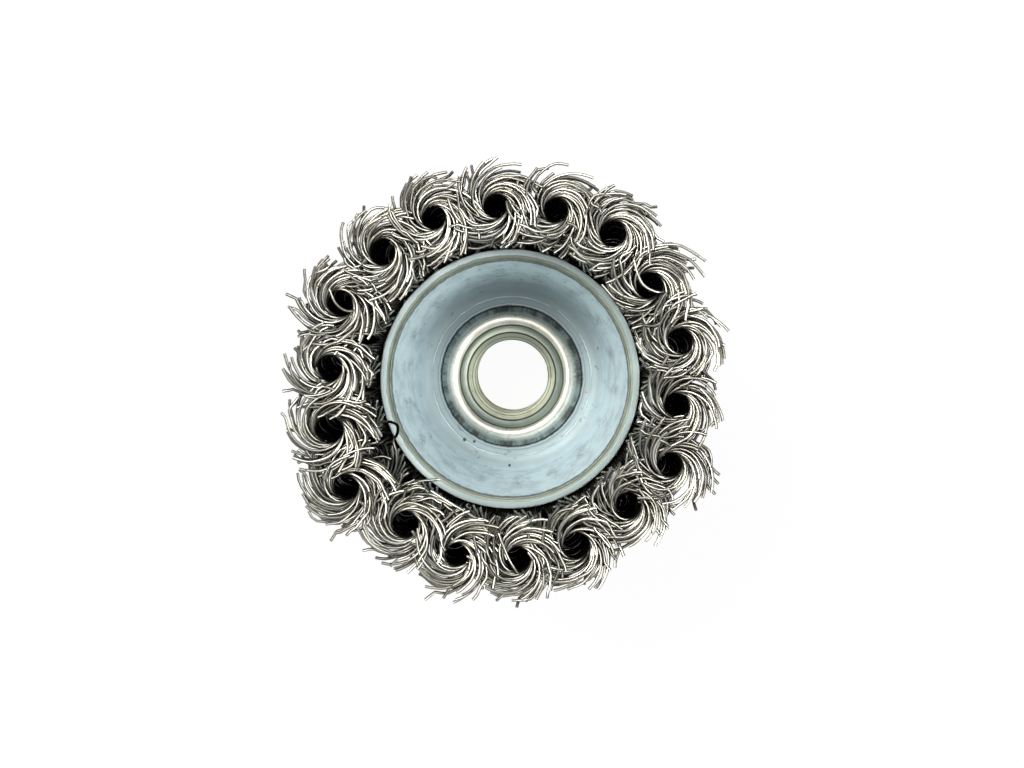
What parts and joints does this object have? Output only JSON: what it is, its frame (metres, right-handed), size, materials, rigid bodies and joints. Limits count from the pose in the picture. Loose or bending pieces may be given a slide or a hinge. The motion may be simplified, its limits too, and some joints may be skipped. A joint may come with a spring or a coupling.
{
  "type": "wire cup brush",
  "caption": "Knotted wire cup brush: a threaded hub nut swaged through a pressed cup and dish, with a ring of twisted hollow wire knots facing the work.",
  "frame": {"origin": "centre of the bore at the end face of the hub nut, which is the middle of the base that the brush stands on", "axes": "+Z along the bore from the machine side towards the work; +X through the middle of the first knot"},
  "size_m": [0.0736, 0.0724, 0.056],
  "materials": {
    "nut_steel": "yellowish zinc plate, bright on the swaged crest and galled dark round it",
    "cup_steel": "zinc-plated pressed steel",
    "dish_zinc": "satin bluish zinc plate with faint smudges",
    "wire_steel": "bare grey steel wire, twisted"
  },
  "bodies": {
    "root": {"hub_nut": "nut_steel", "outer_cup": "cup_steel", "wire_plate": "cup_steel", "inner_dish": "dish_zinc", "knot_01": "wire_steel", "knot_02": "wire_steel", "knot_03": "wire_steel", "knot_04": "wire_steel", "knot_05": "wire_steel", "knot_06": "wire_steel", "knot_07": "wire_steel", "knot_08": "wire_steel", "knot_09": "wire_steel", "knot_10": "wire_steel", "knot_11": "wire_steel", "knot_12": "wire_steel", "knot_13": "wire_steel", "knot_14": "wire_steel", "knot_15": "wire_steel", "knot_16": "wire_steel", "knot_17": "wire_steel", "knot_18": "wire_steel"}
  },
  "joints": []
}
